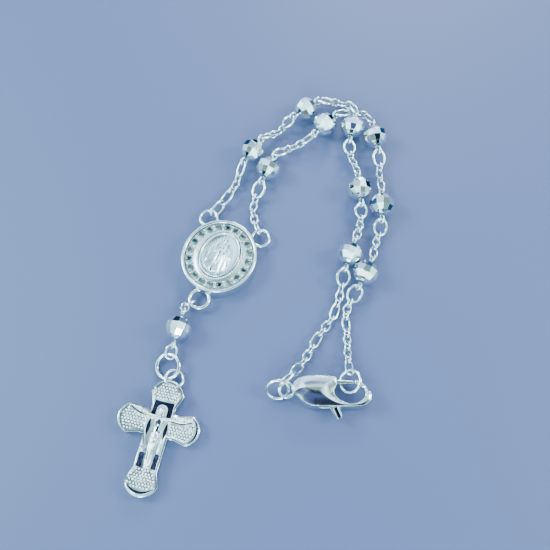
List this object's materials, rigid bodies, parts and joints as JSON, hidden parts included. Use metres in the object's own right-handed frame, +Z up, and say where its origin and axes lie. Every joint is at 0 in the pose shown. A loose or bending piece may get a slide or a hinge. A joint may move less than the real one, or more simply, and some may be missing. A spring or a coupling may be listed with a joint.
{
  "type": "rosary bracelet",
  "caption": "Silver rosary bracelet laid flat in a loop: faceted beads on fine chain, an oval medal ringed with stones, a lobster clasp and a tail with a small crucifix.",
  "frame": {"origin": "centre of the bounding box on the surface that the bracelet lies on", "axes": "+Z up from the surface, +Y from the clasp towards the arch of beads, +X to the right as the picture shows it"},
  "size_m": [0.0422, 0.0673, 0.0039],
  "materials": {
    "polished_silver": "polished sterling silver",
    "bead_silver": "polished sterling silver, flat facets",
    "grained_silver": "cast sterling silver, pitted with fine round grains, dark in its recesses",
    "satin_silver": "cast sterling silver with a soft sheen",
    "stones": "faceted dark stones"
  },
  "bodies": {
    "bracelet": {"medal_frame": "polished_silver", "medal_relief": "satin_silver", "medal_stones": "stones", "chain_left": "polished_silver", "chain_right": "polished_silver", "chain_tail": "polished_silver", "bead_01": "bead_silver", "bead_02": "bead_silver", "bead_03": "bead_silver", "bead_04": "bead_silver", "bead_05": "bead_silver", "bead_06": "bead_silver", "bead_07": "bead_silver", "bead_08": "bead_silver", "bead_09": "bead_silver", "bead_10": "bead_silver", "bead_11": "bead_silver", "eye_pin_01": "polished_silver", "eye_pin_02": "polished_silver", "eye_pin_03": "polished_silver", "eye_pin_04": "polished_silver", "eye_pin_05": "polished_silver", "eye_pin_06": "polished_silver", "eye_pin_07": "polished_silver", "eye_pin_08": "polished_silver", "eye_pin_09": "polished_silver", "eye_pin_10": "polished_silver", "eye_pin_11": "polished_silver", "jump_ring_clasp": "polished_silver", "jump_ring_end": "polished_silver", "jump_ring_cross": "polished_silver", "cross": "grained_silver", "clasp_body": "polished_silver", "clasp_pin": "polished_silver"},
    "lever": {"clasp_lever": "polished_silver"}
  },
  "joints": [
    {"name": "lever_hinge", "type": "hinge", "parent": "bracelet", "child": "lever", "pos_m": [0.00894, -0.01845, 0.00155], "axis": [0, 0, -1], "range_deg": [0, 12], "stiffness_Nm_per_rad": 0.001}
  ]
}
